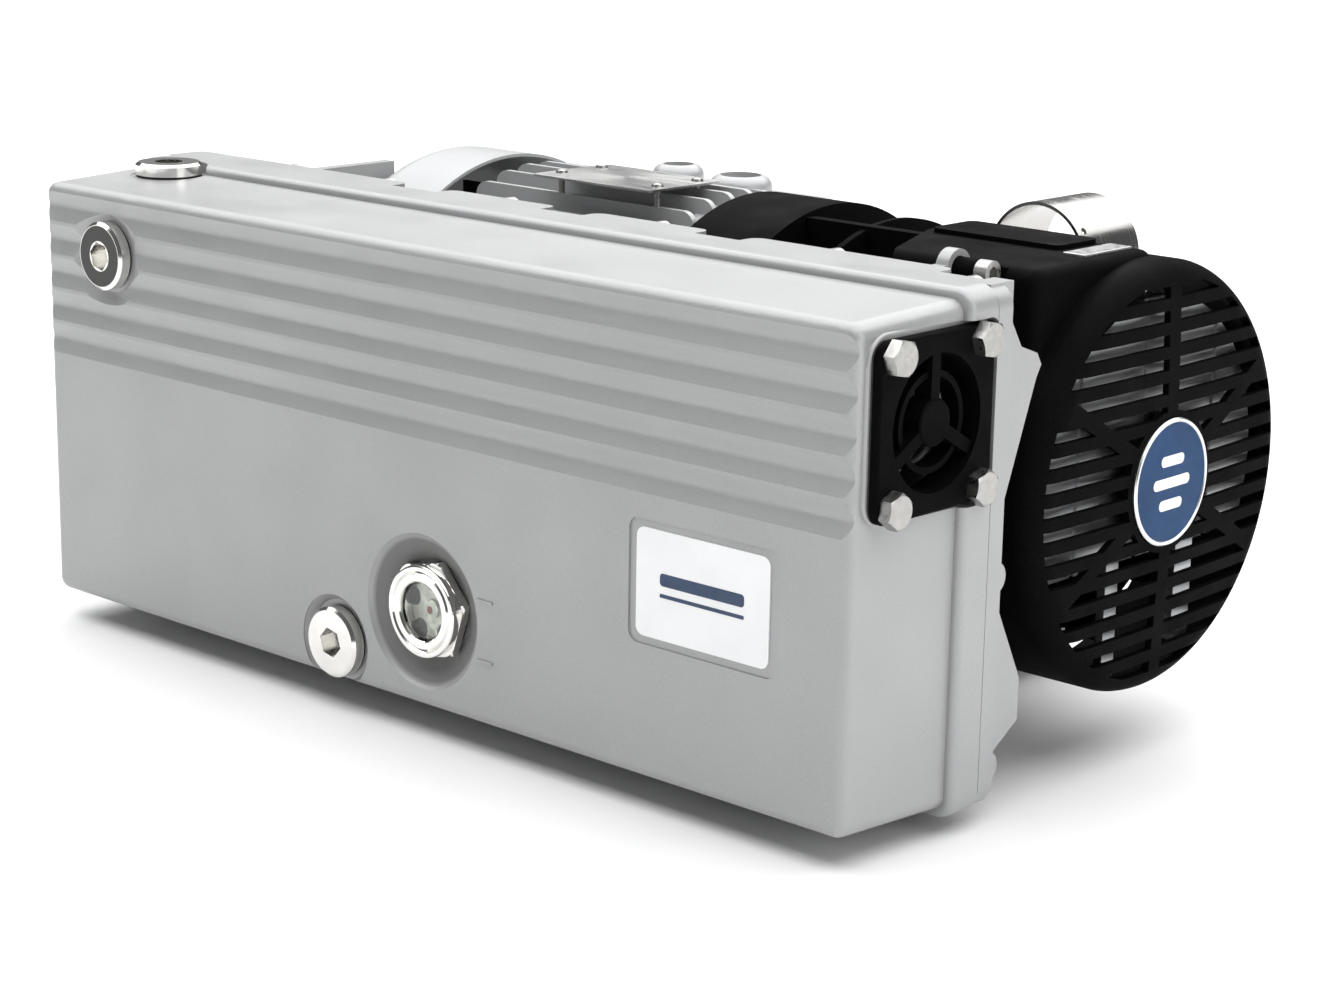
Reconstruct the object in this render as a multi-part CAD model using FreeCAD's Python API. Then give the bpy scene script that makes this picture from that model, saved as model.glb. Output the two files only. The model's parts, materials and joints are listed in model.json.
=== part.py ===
"""Oil-lubricated rotary vane vacuum pump with a flanged electric motor.

Drawn in millimetres from the lower front left corner of the separator casing: +X runs along
the casing and the shaft, +Y from the casing to the pump behind it, +Z up.  save() moves every
shape so that the origin is the middle of the two front feet, on the floor.
"""
import FreeCAD, Part
import math
import os

V = FreeCAD.Vector
X, Y, Z = V(1, 0, 0), V(0, 1, 0), V(0, 0, 1)
BACK, LEFT, DOWN = V(0, -1, 0), V(-1, 0, 0), V(0, 0, -1)

# ---------------------------------------------------------------- separator casing
CASE_L, CASE_H = 495.0, 200.0        # front face
TANK_D = 61.0                        # front face to the rear flange
FLANGE_T = 17.0
WALL = 5.0                           # cast wall
DRAFT = 2.5                          # how far the tank widens over its depth, each side
FLANGE_STEP = 4.0                    # flange stands this far outside the tank
EDGE_R = 5.0                         # rounding of the front edges
WAVE_PITCH, WAVE_DEPTH, WAVES = 15.9, 2.4, 5
WAVE_TOP = 189.5                     # height of the highest groove
GASKET = 1.0
JOINT_Y = TANK_D + FLANGE_T          # rear face of the casing flange

LEVEL_PLUG = V(46.5, 0, 170.3)
DRAIN_PLUG = V(205.6, 0, 17.0)
FILLER_PLUG = V(29.7, 51.3, 201.6)
PLUG_SEAT, DRAIN_SEAT, FILLER_SEAT = 3.2, 4.0, 0.3     # depth of each spot face
PLUG_THREAD_R, PLUG_R, PLUG_HEAD = 13.2, 16.0, 7.0
PLUG_SEAL = 1.2
SIGHT = V(262.0, 0, 42.6)
SIGHT_DEPTH, SIGHT_BORE_R = 8.0, 16.6
LABEL_W, LABEL_H, LABEL_AT = 69.5, 44.8, V(421.75, 0, 82.4)

EXH_Y, EXH_Z = 42.5, 158.2           # exhaust cover on the right end
EXH_W, EXH_H, EXH_T = 71.0, 70.0, 3.7
EXH_PAD, EXH_SEAL = 1.5, 0.8
EXH_BOLT_Y, EXH_BOLT_Z = 27.0, 29.0  # bolts from the middle of the cover
EXH_HOLE_R = 30.0

# ---------------------------------------------------------------- back plate
PLATE_Y, PLATE_T = JOINT_Y + GASKET, 9.0
EAR_T = 20.0                         # thick lugs along the top rim
TOP_EARS = ((-4.0, 148.0), (177.0, 245.0), (270.0, 336.0), (361.0, 465.0))
CASE_BOLTS_TOP = (62, 128, 210, 303, 400, 478)
CASE_BOLTS_LOW = (30, 140, 250, 360, 470)
EYE_X, EYE_Y, EYE_Z, EYE_R = 447.0, 117.0, 202.5, 8.0  # eye that carries the air shroud

# ---------------------------------------------------------------- pump stage on the shaft line
AXIS_Y, AXIS_Z = 205.0, 108.0        # shaft line, parallel to X
BORE_R, ROTOR_R, SHAFT_R = 45.0, 38.0, 10.0
BORE_Z = AXIS_Z - (BORE_R - ROTOR_R - 0.1)             # bore axis below the rotor axis
PUMP_X0, PUMP_X1 = 350.0, 440.0
PUMP_BODY_R, COVER_T, COVER_SCREW_R = 60.0, 13.0, 52.0
BUSH_R, SEAL_R, SEAL_T = SHAFT_R + 3.5, SHAFT_R + 8.0, 5.0
RUN = 0.05                           # radial running clearance
VANE_T, VANE_H = 4.0, 20.0
VANE_REST = (90.0, 210.0, 330.0)     # degrees from the sealing line at the top
PORT_X0, PORT_X1, PORT_Z0, PORT_Z1 = PUMP_X0 + 18, PUMP_X1 - 18, 110.0, 138.0
REED_Y, REED_GAP, REED_T = 138.0, 0.35, 0.4

INLET_X, INLET_Y, INLET_Z = 418.0, 241.0, 190.0        # centre of the suction tee
INLET_R, INLET_L, STEEL, BRANCH_R = 25.5, 42.0, 1.5, 14.0
HOUSING_Z0, HOUSING_Z1, HOUSING_R = 149.0, 164.0, 21.8
SEAT_Z, POPPET_R, CHAMBER_R = 160.0, 16.0, 17.5

# ---------------------------------------------------------------- fan, cooler, air shroud
FAN_X0, FAN_X1, FAN_R, FAN_BLADES = 456.0, 476.0, 76.0, 9
COOLER_X0, COOLER_X1, COOLER_R, COOLER_LOW = 480.0, 492.0, 78.0, 75.0
PIPE_X, PIPE_R, PIPE_BEND = 448.0, 4.0, 8.0
PIPE_Y, PIPE_DZ = AXIS_Y - 82, 16.0
SKIN = 3.0                           # moulded plastic wall
COWL_R, COWL_X, COWL_FRONT = 93.0, 467.0, 502.0        # fan cowl drum
COWL_EDGE = 13.0                     # rounding of its rim
SLOT_PITCH, SLOT_H, RIB, SLANT_RIB = 10.1, 5.0, 8.0, 6.5
SLOT_ROWS, SLOT_REACH = 8, COWL_R - 7
BADGE_R = 27.5
SHROUD_R, SHROUD_X = 97.0, 270.0     # arched end of the air shroud
STEP_X, STEP_R = 318.0, 83.0         # recess behind the arch
SHROUD_TOP = 203.5
HOOD_X, HOOD_Y0, HOOD_Y1, HOOD_LOW = 386.0, 129.0, 214.0, 158.0
HOOD_SLANT = 24.0                    # its left end runs slantwise by this much
SHOULDER = 16.0                      # the box runs on over the drum
SKIRT_X = 447.0
SHROUD_SCREW_R = 3.35

# ---------------------------------------------------------------- motor
MOTOR_X0, MOTOR_X1 = 112.0, 264.0
FRAME_R, FRAME_IN, FIN_R = 78.0, 68.0, 96.5
FIN_T, FIN_PITCH, FINS = 3.0, 13.8, 5                  # fins on each side of the middle
FLANGE_R, FLANGE_BOLT_R = 90.0, 84.0
MOTOR_COWL_R, MOTOR_COWL_X0, MOTOR_COWL_X1 = 98.7, 58.0, 110.0
SHEET = 1.5                          # pressed steel
MOTOR_SHAFT_R, BEARING_R = 12.0, 20.0
CORE_X0, CORE_X1 = 140.0, 232.0      # stator laminations
TERMINAL = (150.0, 250.0, 226.0, 292.0, 150.0, 192.0)
GLANDS = ((180.0, 250.0, 205.2, 12.8, 7.5), (221.0, 250.0, 204.0, 15.4, 10.0))
NAMEPLATE_Z, NAMEPLATE_W, NAMEPLATE_D = 206.5, 76.0, 52.0
NAMEPLATE_X, NAMEPLATE_Y = 208.0, 183.0

# ---------------------------------------------------------------- feet and fasteners
FOOT_H, FOOT_R = 14.0, 13.0
FRONT_FEET = ((65.0, 46.0), (430.0, 46.0))
REAR_FEET = ((300.0, 285.0), (380.0, 285.0))
FOOT_THREAD_R = 3.4                  # M8 thread, minor radius
M8_THREAD, M8_HOLE, M8_TAP, M8_HEX, M8_HEAD = 3.35, 4.2, 3.4, 13.0, 5.5
M6_THREAD, M6_HOLE, M6_TAP = 2.45, 3.2, 2.5
ORIGIN = V((FRONT_FEET[0][0] + FRONT_FEET[1][0]) / 2, FRONT_FEET[0][1], -FOOT_H)

FLOAT_AT = V(96.0, 50.0, 58.0)       # pivot of the oil float
FLOAT_ARM, FLOAT_BALL_R, FLOAT_PIN_R = 46.0, 15.0, 1.98
FLOAT_DROOP = 12.0                   # arm below level when the float rests

nodes = {}


# ---------------------------------------------------------------- helpers
def save(name, shape):
    moved = shape.copy()
    moved.translate(V(0, 0, 0) - ORIGIN)
    nodes[name] = moved


def box(x0, x1, y0, y1, z0, z1):
    return Part.makeBox(x1 - x0, y1 - y0, z1 - z0, V(x0, y0, z0))


def rod(start, direction, r, length):
    return Part.makeCylinder(r, length, start, direction)


def rod_x(x0, x1, r, y=AXIS_Y, z=AXIS_Z):
    return rod(V(x0, y, z), X, r, x1 - x0)


def ring_x(x0, x1, r_out, r_in, y=AXIS_Y, z=AXIS_Z):
    return rod_x(x0, x1, r_out, y, z).cut(rod_x(x0 - 1, x1 + 1, r_in, y, z))


def prism(points, direction, depth):
    """A closed polygon of points, pushed along direction by depth."""
    outline = Part.makePolygon([V(*p) for p in points] + [V(*points[0])])
    return Part.Face(outline).extrude(direction * depth)


def rounded_plate(width, height, r):
    """A rounded rectangle face centred on the origin of the XY plane."""
    w, h = width / 2 - r, height / 2 - r
    corners = ((w, h, 0), (-w, h, 90), (-w, -h, 180), (w, -h, 270))
    arcs = [Part.makeCircle(r, V(x, y, 0), Z, angle, angle + 90).Edges[0] for x, y, angle in corners]
    edges = []
    for i, arc in enumerate(arcs):
        start, end = arc.lastVertex().Point, arcs[(i + 1) % 4].firstVertex().Point
        edges += [arc, Part.LineSegment(start, end).toShape()]
    return Part.Face(Part.Wire(edges))


def place(shape, at, normal, turn=0):
    """Stand a shape drawn on the XY plane at a point, its Z along normal."""
    moved = shape.copy()
    moved.rotate(V(0, 0, 0), Z, turn)
    moved.Placement = FreeCAD.Placement(at, FreeCAD.Rotation(Z, normal)).multiply(moved.Placement)
    return moved


def plate(width, height, r, at, normal, depth, turn=0):
    """A rounded rectangular plate that grows from a point along normal."""
    return place(rounded_plate(width, height, r), at, normal, turn).extrude(normal * depth)


def revolve(points, at, axis):
    """Revolve a closed profile of (radius, height) points about the axis through at."""
    outline = Part.makePolygon([V(r, 0, h) for r, h in points] + [V(points[0][0], 0, points[0][1])])
    solid = Part.makeSolid(Part.Face(outline).revolve(V(0, 0, 0), Z, 360).Shells[0])
    return place(solid, at, axis)


def hexagon(across_flats, depth, at, normal, turn=0):
    r = across_flats / math.sqrt(3)
    corners = [math.radians(60 * i) for i in range(6)]
    points = [V(r * math.cos(a), r * math.sin(a), 0) for a in corners]
    face = Part.Face(Part.makePolygon(points + [points[0]]))
    return place(face.extrude(Z * depth), at, normal, turn)


def turned(shape, degrees):
    """A copy turned about the shaft line."""
    copy = shape.copy()
    copy.rotate(V(0, AXIS_Y, AXIS_Z), X, degrees)
    return copy


def fillet(shape, r, chosen):
    return shape.makeFillet(r, [e for e in shape.Edges if chosen(e)])


def runs_along(edge, axis):
    return abs(edge.tangentAt(edge.FirstParameter).dot(axis)) > 0.9


def socket_screw(r, length, at, inward):
    """Socket head cap screw, thread radius r, head seat at the point, shank pointing inward."""
    head_r, head_h = 1.55 * r, 2 * r
    head = rod(at - inward * head_h, inward, head_r, head_h)
    rims = [e for e in head.Edges if e.Curve.TypeId == "Part::GeomCircle"]
    head = head.makeChamfer(0.12 * head_r, rims[:1])
    socket = hexagon(1.5 * r, r, at - inward * (head_h + 0.01), inward)
    return head.fuse(rod(at, inward, r, length)).cut(socket)


def hex_bolt(length, at, inward, turn=0):
    """M8 hexagon bolt with a turned chamfer on its head."""
    flat, corner = M8_HEX / 2, M8_HEX / math.sqrt(3) + 0.1
    top = at - inward * M8_HEAD
    bevel = (corner - flat) * 0.7
    cone = revolve([(0, 0), (flat * 0.98, 0), (corner, bevel), (corner, M8_HEAD), (0, M8_HEAD)], top, inward)
    head = hexagon(M8_HEX, M8_HEAD, top, inward, turn).common(cone)
    return head.fuse(rod(at, inward, M8_THREAD, length))


def coil(start, direction, radius, wire, length, turns):
    """A compression spring that fills exactly the given length."""
    rise = length - 2 * wire
    steps = round(turns * 12)
    sections = []
    for i in range(steps + 1):
        a = 2 * math.pi * turns * i / steps
        at = V(radius * math.cos(a), radius * math.sin(a), rise * i / steps)
        along = V(-radius * math.sin(a), radius * math.cos(a), rise / (2 * math.pi * turns))
        sections.append(Part.Wire(Part.makeCircle(wire, at, along)))
    return place(Part.makeLoft(sections, True), start + direction * wire, direction)


# ---------------------------------------------------------------- separator casing
def exhaust_bolt_places():
    sides, heights = (-EXH_BOLT_Y, EXH_BOLT_Y), (-EXH_BOLT_Z, EXH_BOLT_Z)
    return [V(CASE_L + EXH_PAD, EXH_Y + a, EXH_Z + b) for a in sides for b in heights]


def casing_bolt_places():
    """Screws come from the back plate into the flange, along the top and bottom rims."""
    top = [V(x, JOINT_Y, CASE_H + 0.5) for x in CASE_BOLTS_TOP]
    return top + [V(x, JOINT_Y, -0.5) for x in CASE_BOLTS_LOW]


def groove(low):
    """Cutter for one smooth horizontal groove whose lower crest lies at height low.

    Its crests stand a hair in front of the flat face, so that no crest only touches it.
    """
    crest, front, start, steps = -0.03, -10.0, -20, 12
    points = []
    for i in range(steps + 1):
        depth = (1 - math.cos(2 * math.pi * i / steps)) / 2
        points.append(V(start, crest + (WAVE_DEPTH - crest) * depth, low + i * WAVE_PITCH / steps))
    curve = Part.BSplineCurve()
    curve.interpolate(points, InitialTangent=Z, FinalTangent=Z)
    corners = [points[-1], V(start, front, points[-1].z), V(start, front, low), points[0]]
    outline = [Part.LineSegment(a, b).toShape() for a, b in zip(corners, corners[1:])]
    return Part.Face(Part.Wire([curve.toShape()] + outline)).extrude(X * (CASE_L - 2 * start))


def tank_body():
    """Drafted box with waves across the upper front and rounded edges."""
    corner_r, rear_y = 6.0, TANK_D + 2
    wide, high = CASE_L + 2 * DRAFT, CASE_H + 2 * DRAFT
    front = place(rounded_plate(CASE_L, CASE_H, corner_r), V(CASE_L / 2, 0, CASE_H / 2), Y)
    rear = place(rounded_plate(wide, high, corner_r), V(CASE_L / 2, rear_y, CASE_H / 2), Y)
    body = Part.makeLoft([front.OuterWire, rear.OuterWire], True, True)
    if body.Volume < 0:
        body.reverse()
    body = fillet(body, EDGE_R, lambda e: e.BoundBox.YMax < 0.1)
    for i in range(WAVES):
        body = body.cut(groove(WAVE_TOP - (i + 0.5) * WAVE_PITCH))
    return body


def casing_flange():
    """Rim at the rear, let in behind the exhaust cover."""
    step = DRAFT + FLANGE_STEP
    at = V(CASE_L / 2, TANK_D, CASE_H / 2)
    flange = plate(CASE_L + 2 * step, CASE_H + 2 * step, 9, at, Y, FLANGE_T)
    flange = fillet(flange, 3.5, lambda e: e.BoundBox.YMax < TANK_D + 0.1)
    half = EXH_H / 2 + 1.5
    pocket = box(CASE_L + EXH_PAD, CASE_L + 20, TANK_D - 8, JOINT_Y + 1, EXH_Z - half, EXH_Z + half)
    return flange.cut(fillet(pocket, 5, lambda e: runs_along(e, X)))


def exhaust_pad():
    """Low pad round the exhaust cover, on the right end."""
    pad = plate(EXH_W + 4, EXH_H + 5, 12, V(CASE_L - 4, EXH_Y, EXH_Z), X, 4 + EXH_PAD, 90)
    pad = fillet(pad, 1.4, lambda e: e.BoundBox.XMin > CASE_L + EXH_PAD - 0.1)
    return pad.common(box(0, 600, 0, JOINT_Y, 0, 300))


def casing_bosses():
    """Thick places inside, for the ports and for the bolts of the exhaust cover."""
    filler = V(FILLER_PLUG.x, FILLER_PLUG.y, CASE_H - 3)
    bosses = [rod(LEVEL_PLUG + Y * 4, Y, 19, 14), rod(DRAIN_PLUG + Y * 4, Y, 19, 14),
              rod(SIGHT + Y * 4, Y, 36, 13), rod(filler, DOWN, 19, 14)]
    bosses += [rod(V(CASE_L - 16, at.y, at.z), X, 8, 16) for at in exhaust_bolt_places()]
    inside = box(2, CASE_L - 2, 3, JOINT_Y - 1, 2, CASE_H - 2)
    return [boss.common(inside) for boss in bosses]


def casing_dishes():
    """Soft round dishes and the label pocket in the outer face."""
    sight = [(0, -1), (34.5, -1), (34.5, 0), (33.2, 1.2), (27, 4.6), (21.5, SIGHT_DEPTH), (0, SIGHT_DEPTH)]
    level = [(0, -1), (25, -1), (25, 0), (21, 1.6), (17.5, PLUG_SEAT), (0, PLUG_SEAT)]
    drain = [(0, -4), (21.5, -4), (21.5, 0.6), (18.5, DRAIN_SEAT), (0, DRAIN_SEAT)]
    pocket = plate(LABEL_W + 8, LABEL_H + 7, 5, LABEL_AT - Y, Y, 1.8)
    return [revolve(sight, SIGHT, Y), revolve(level, LEVEL_PLUG, Y), revolve(drain, DRAIN_PLUG, Y), pocket]


def casing_ports():
    """Every hole and spot face of the casing."""
    deep = 30
    cuts = [rod(at, inward, PLUG_THREAD_R, deep) for at, inward in
            ((LEVEL_PLUG, Y), (DRAIN_PLUG, Y), (FILLER_PLUG, DOWN))]
    cuts.append(rod(SIGHT, Y, SIGHT_BORE_R, deep))
    cuts.append(rod_x(CASE_L - 20, CASE_L + 10, EXH_HOLE_R, EXH_Y, EXH_Z))
    cuts.append(rod(FILLER_PLUG + DOWN * FILLER_SEAT, Z, 18.5, 10))
    cuts += [rod(at - X * 20, X, M8_TAP, deep) for at in exhaust_bolt_places()]
    cuts += [rod(at - Y * 13, Y, M8_TAP, deep) for at in casing_bolt_places()]
    cuts += [rod(V(x, y, -10), Z, 4.0, 20) for x, y in FRONT_FEET]
    return cuts


def separator_casing():
    body = tank_body().fuse([casing_flange(), exhaust_pad()])
    body = body.cut(plate(EXH_W + 3, EXH_H + 3, 8, V(CASE_L + EXH_PAD, EXH_Y, EXH_Z), X, 9, 90))
    low, high = WALL + 1, CASE_H - WALL - 1
    hollow = box(low, CASE_L - low, WALL + WAVE_DEPTH, JOINT_Y + 1, low, high)
    body = body.cut(fillet(hollow, 4, lambda e: runs_along(e, Y)))
    body = body.fuse(casing_bosses())
    for x, y in FRONT_FEET:
        body = body.fuse(rod(V(x, y, -DRAFT), Z, FOOT_R - 1, 16))
    body = body.cut(casing_dishes()).cut(casing_ports())
    level_marks = [box(296.4, 305.6, -0.7, 1, z - 0.6, z + 0.6) for z in (SIGHT.z - 14, SIGHT.z + 12.5)]
    save("separator_casing", body.fuse(level_marks))


def casing_gasket():
    step = DRAFT + FLANGE_STEP - 2
    sheet = plate(CASE_L + 2 * step, CASE_H + 2 * step, 7, V(CASE_L / 2, JOINT_Y, CASE_H / 2), Y, GASKET)
    low, high = WALL + 1, CASE_H - WALL - 1
    sheet = sheet.cut(box(low, CASE_L - low, JOINT_Y - 1, JOINT_Y + 3, low, high))
    save("casing_gasket", sheet.cut([rod(at - Y, Y, M8_HOLE, 5) for at in casing_bolt_places()]))


def plug(name, at, inward, seat):
    """Collar screw plug with a hexagon socket; returns the seal ring under its collar."""
    face = at + inward * seat
    under, thread = PLUG_HEAD - PLUG_SEAL, PLUG_THREAD_R - 0.1
    profile = [(0, 0), (PLUG_R - 1.4, 0), (PLUG_R, 1.2), (PLUG_R, under), (thread, under),
               (thread, PLUG_HEAD + 12), (0, PLUG_HEAD + 12)]
    body = revolve(profile, face - inward * PLUG_HEAD, inward)
    save(name, body.cut(hexagon(12, 9, face - inward * (PLUG_HEAD + 0.01), inward, 12)))
    seal = rod(face - inward * PLUG_SEAL, inward, PLUG_R - 0.6, PLUG_SEAL)
    return seal.cut(rod(face - inward * 3, inward, PLUG_THREAD_R, 6))


def sight_glass():
    """Screwed ring, lens and reflector; returns the seal ring on the floor of the dish."""
    floor = SIGHT + Y * SIGHT_DEPTH
    front = floor - Y * 9.0
    round_part = [(13.0, 0.6), (13.6, 0), (16.4, 0), (17.5, 1.1), (17.5, 3.4), (16.4, 3.4), (16.4, 7.8),
                  (16.2, 7.8), (16.2, 18), (12.2, 18), (12.2, 3.4), (13.0, 3.4)]
    flats = hexagon(36, 3.6, front + Y * 4.2, Y, 9)
    flats = flats.common(revolve([(0, 4.2), (18.0, 4.2), (20.4, 5.6), (20.4, 7.8), (0, 7.8)], front, Y))
    flats = flats.cut(rod(front, Y, 15, 12))
    save("sight_glass_ring", revolve(round_part, front, Y).fuse(flats).removeSplitter())
    lens = [(0, 1.0), (8, 1.15), (12.9, 1.8), (12.9, 3.4), (12.1, 3.4), (12.1, 7.0), (0, 7.0)]
    save("sight_glass_lens", revolve(lens, front, Y))
    disc = rod(front + Y * 9.5, Y, 12.0, 1.2).fuse(rod(front + Y * 8.5, Y, 4.0, 1.5))
    windows = []
    for i in range(5):
        a = math.radians(90 + 72 * i)
        windows.append(rod(front + V(11.3 * math.cos(a), 7, 11.3 * math.sin(a)), Y, 4.0, 6))
    save("sight_glass_reflector", disc.cut(windows).removeSplitter())
    return rod(floor - Y * 1.2, Y, 20, 1.2).cut(rod(floor - Y * 2, Y, SIGHT_BORE_R, 4))


def ports():
    seals = [plug("filler_plug", FILLER_PLUG, DOWN, FILLER_SEAT),
             plug("level_plug", LEVEL_PLUG, Y, PLUG_SEAT),
             plug("drain_plug", DRAIN_PLUG, Y, DRAIN_SEAT), sight_glass()]
    save("port_seals", Part.makeCompound(seals))


def casing_label():
    save("casing_label", plate(LABEL_W, LABEL_H, 4, LABEL_AT + Y * 0.2, Y, 0.6))


def exhaust():
    """Black cover with three spokes, its gasket and four bolts, and the filter behind it."""
    seat = CASE_L + EXH_PAD
    low, face = seat + EXH_SEAL, seat + EXH_SEAL + EXH_T
    cover = plate(EXH_W, EXH_H, 7, V(low, EXH_Y, EXH_Z), X, EXH_T, 90)
    cover = fillet(cover, 1.5, lambda e: e.BoundBox.XMin > face - 0.1)
    cover = cover.cut(rod_x(seat, seat + 10, 27, EXH_Y, EXH_Z))
    skirt = ring_x(seat - 8, face - 1.5, 29.6, 26.6, EXH_Y, EXH_Z)
    inner = ring_x(seat - 6, seat + 1.5, 20, 17.5, EXH_Y, EXH_Z)
    hub = rod_x(seat - 6, face - 0.8, 9.5, EXH_Y, EXH_Z)
    hub = fillet(hub, 1.2, lambda e: e.BoundBox.XMin > face - 0.9)
    spoke = box(seat - 5, face - 1.4, EXH_Y + 6, EXH_Y + 28, EXH_Z - 2.6, EXH_Z + 2.6)
    spokes = []
    for angle in (90, 210, 330):
        arm = spoke.copy()
        arm.rotate(V(0, EXH_Y, EXH_Z), X, angle)
        spokes.append(arm)
    cover = cover.fuse([skirt, inner, hub] + spokes)
    gasket = plate(EXH_W, EXH_H, 7, V(seat, EXH_Y, EXH_Z), X, EXH_SEAL, 90)
    gasket = gasket.cut(rod_x(seat - 1, seat + 3, EXH_HOLE_R, EXH_Y, EXH_Z))
    holes = [rod(at - X, X, M8_HOLE, 12) for at in exhaust_bolt_places()]
    save("exhaust_cover", cover.cut(holes).removeSplitter())
    save("exhaust_gasket", gasket.cut(holes))
    bolts = [hex_bolt(18, V(face, at.y, at.z), LEFT, 14 * at.z) for at in exhaust_bolt_places()]
    save("exhaust_bolts", Part.makeCompound(bolts))
    end, cap = CASE_L - 24, 4.0
    caps = [rod_x(144, 150, 28, EXH_Y, EXH_Z), ring_x(end, end + cap, 28, 14, EXH_Y, EXH_Z)]
    save("exhaust_filter", ring_x(150, end, 27.5, 21, EXH_Y, EXH_Z).fuse(caps))
    room = seat - 6 - (end + cap)
    save("filter_spring", coil(V(end + cap + 0.2, EXH_Y, EXH_Z), X, 18.8, 1.0, room - 0.4, 2.5))


def oil_baffle():
    """Drip sheet between the filter and the sump, bent up at its rear edge."""
    z, x0, x1, y0, y1 = 104.0, WALL + 3, CASE_L - WALL - 3, WALL + 12, JOINT_Y - 6
    sheet = box(x0, x1, y0, y1, z, z + SHEET).fuse(box(x0, x1, y1 - SHEET, y1, z, z + 12))
    holes = [rod(V(60 + 38 * i, y, z - 1), Z, 5, 4) for i in range(11) for y in (30, 55)]
    save("oil_baffle", sheet.cut(holes))


def float_gear():
    """Forked bracket with its pin, and the float arm that swings between its cheeks."""
    x, z, half = FLOAT_AT.x, FLOAT_AT.z, 9.0
    bracket = box(x - 14, x + half, 40, PLATE_Y, z - half, z + half)
    bracket = bracket.cut([box(x - half, x + half, 44, 56, z - half, z + half),
                           box(x - 8, x + 10, 60, 75, z - 10, z + 10), rod(V(x, 30, z), Y, 2.0, 40)])
    pin = rod(V(x, 38.5, z), Y, FLOAT_PIN_R, 23)
    save("float_bracket", Part.makeCompound([bracket, pin]))
    reach = FLOAT_ARM - FLOAT_BALL_R + 2
    arm = box(x + 3, x + reach, 48.5, 51.5, z - 2, z + 2)
    ball = Part.makeSphere(FLOAT_BALL_R, FLOAT_AT + X * FLOAT_ARM)
    body = rod(V(x, 44.6, z), Y, 5, 10.8).fuse([arm, ball])
    body = body.cut(rod(V(x, 30, z), Y, FLOAT_PIN_R + RUN, 40))
    body.rotate(FLOAT_AT, Y, FLOAT_DROOP)
    save("oil_float", body)


# ---------------------------------------------------------------- back plate with lugs
def end_wall(x):
    """Cast wall that stands back from one end of the plate."""
    side = [(PLATE_Y, -5), (90, -5), (94, 2), (94, 14), (110, 24), (110, 42), (94, 73), (94, 118),
            (112, 165), (115, 170), (112, 175), (101, 179), (94, 190), (94, 206), (PLATE_Y, 206)]
    return prism([(x, y, z) for y, z in side], X, 9.5)


def back_plate():
    step = DRAFT + FLANGE_STEP - 0.5
    middle = V(CASE_L / 2, PLATE_Y, CASE_H / 2)
    body = plate(CASE_L + 2 * step, CASE_H + 2 * step, 9, middle, Y, PLATE_T)
    ears = []
    for x0, x1 in TOP_EARS:
        ear = box(x0, x1, PLATE_Y, PLATE_Y + EAR_T, CASE_H - 9, CASE_H + 6)
        ears.append(fillet(ear, 5.5, lambda e: runs_along(e, Z) and e.BoundBox.YMin > PLATE_Y + 1))
    rib = ((PLATE_Y, 120), (PLATE_Y, 198), (98, 200), (176, 200), (176, 176), (112, 140))
    walls = [end_wall(CASE_L - 8), end_wall(-4.0), prism([(46, y, z) for y, z in rib], X, 7)]
    bumps = [rod(V(CASE_L - 8, 91, z), X, 6.5, 9.5) for z in (8, 87)]
    eye = rod_x(EYE_X, EYE_X + 6, EYE_R, EYE_Y, EYE_Z)
    eye = eye.fuse(box(EYE_X, EYE_X + 6, PLATE_Y + 2, EYE_Y, EYE_Z - EYE_R, EYE_Z + 2))
    body = body.fuse(ears + walls + bumps + [eye])
    # eye hole, passage from the pump into the separator, and the oil return
    cuts = [rod_x(EYE_X - 1, EYE_X + 7, 5.2, EYE_Y, EYE_Z),
            box(PORT_X0, PORT_X1, PLATE_Y - 5, PLATE_Y + PLATE_T + 5, PORT_Z0, PORT_Z1),
            rod(V(PUMP_X0 + 30, PLATE_Y - 5, 40), Y, 5, 40)]
    cuts += [rod(at - Y, Y, 4.3, 40) for at in casing_bolt_places()]
    save("back_plate", body.cut(cuts).removeSplitter())
    bolts = []
    for at in casing_bolt_places():
        in_ear = at.z > CASE_H / 2 and any(a < at.x < b for a, b in TOP_EARS)
        seat = PLATE_Y + (EAR_T if in_ear else PLATE_T)
        bolts.append(socket_screw(M8_THREAD, seat - JOINT_Y + 12, V(at.x, seat, at.z), BACK))
    save("casing_bolts", Part.makeCompound(bolts))


# ---------------------------------------------------------------- pump stage
def cover_screw_places(x):
    angles = [math.radians(30 + 60 * i) for i in range(6)]
    return [V(x, AXIS_Y + COVER_SCREW_R * math.cos(a), BORE_Z + COVER_SCREW_R * math.sin(a)) for a in angles]


def rear_leg(foot, wall_y, low, high, reach):
    """Foot pad and web under a round casting, down to a rear foot."""
    x, y = foot
    pad = box(x - 20, x + 20, AXIS_Y + 20, y + 17, 0, 14)
    side = ((wall_y, low), (AXIS_Y + 25, 5), (y + 12, 5), (AXIS_Y + reach, high), (wall_y, high))
    return [pad, prism([(x - 7, a, b) for a, b in side], X, 14)]


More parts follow.
